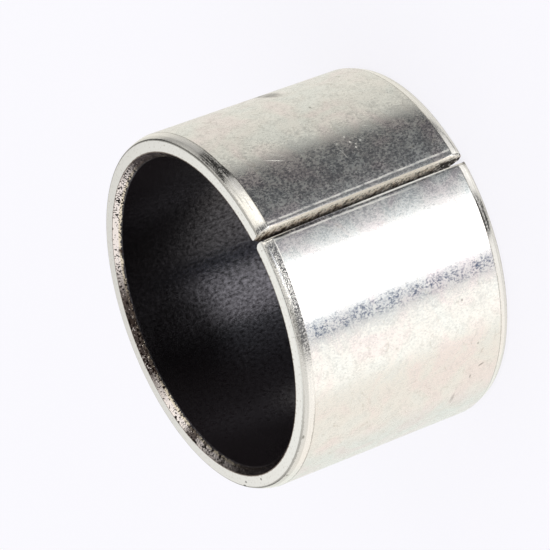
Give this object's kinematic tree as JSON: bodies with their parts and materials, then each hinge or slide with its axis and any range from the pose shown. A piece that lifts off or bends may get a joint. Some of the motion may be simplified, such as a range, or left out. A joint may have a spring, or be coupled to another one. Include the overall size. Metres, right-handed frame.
{
  "type": "wrapped dry bearing bush",
  "caption": "Short split tube rolled from a steel-backed strip with a black sliding layer in its bore; lines a housing so that a shaft can turn in it dry.",
  "frame": {"origin": "middle of the lower end face, on the bush's axis", "axes": "+Z along the bush's axis, from the lower end to the upper end; the joint is on the -Y side"},
  "size_m": [0.023, 0.023, 0.015],
  "materials": {
    "tinned_steel": "satin"
  },
  "bodies": {
    "root": {"wrapped_bush": "tinned_steel"}
  },
  "joints": []
}
